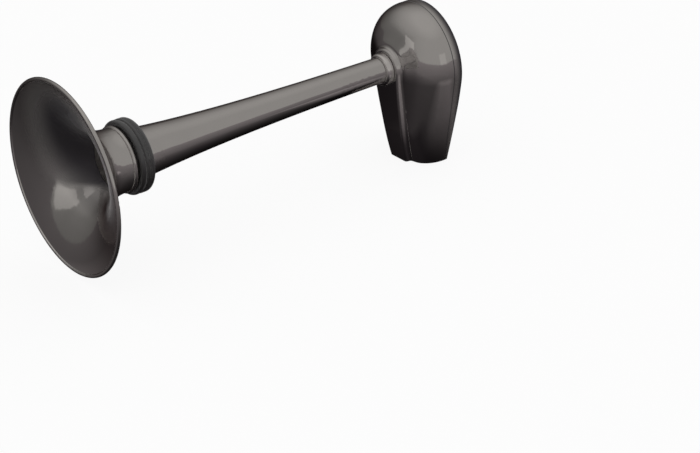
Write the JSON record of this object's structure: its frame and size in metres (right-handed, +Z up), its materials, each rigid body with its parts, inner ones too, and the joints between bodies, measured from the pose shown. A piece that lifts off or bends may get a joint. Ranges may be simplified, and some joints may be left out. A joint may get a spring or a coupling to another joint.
{
  "type": "car air horn",
  "caption": "Compressed-air trumpet horn with a flared bell, a long tapered tube and a teardrop sound-head housing that stands on its foot.",
  "frame": {"origin": "centre of the foot's underside, on the axis of the air inlet", "axes": "+X runs along the trumpet from the bell's mouth to the housing, +Z is up, square to the foot, and +Y completes a right-handed frame across the horn"},
  "size_m": [0.3523, 0.16, 0.165],
  "materials": {
    "horn_finish": "glossy near-black lacquer, mirror smooth",
    "ring_rubber": "matt black rubber",
    "seal_rubber": "matt black rubber",
    "cast_alloy": "as cast, fine grain",
    "brass": "turned brass",
    "gasket_paper": "grey-brown gasket paper",
    "spring_steel": "rolled spring steel",
    "screw_steel": "zinc-plated steel"
  },
  "bodies": {
    "root": {"bell": "horn_finish", "trumpet_tube": "horn_finish", "support_ring": "ring_rubber", "trumpet_collar": "horn_finish", "front_shell": "horn_finish", "seam_gasket": "seal_rubber", "rear_cover": "horn_finish", "base_plate": "cast_alloy", "base_seal": "seal_rubber", "inlet_bush": "brass", "air_pipe": "brass", "pipe_nuts": "brass", "hub_seal": "seal_rubber", "head_body": "cast_alloy", "nozzle_seat": "brass", "front_gasket": "gasket_paper", "diaphragm": "spring_steel", "rear_gasket": "gasket_paper", "head_cap": "cast_alloy", "head_screws": "screw_steel", "cover_screws": "screw_steel", "foot_screws": "screw_steel"}
  },
  "joints": []
}
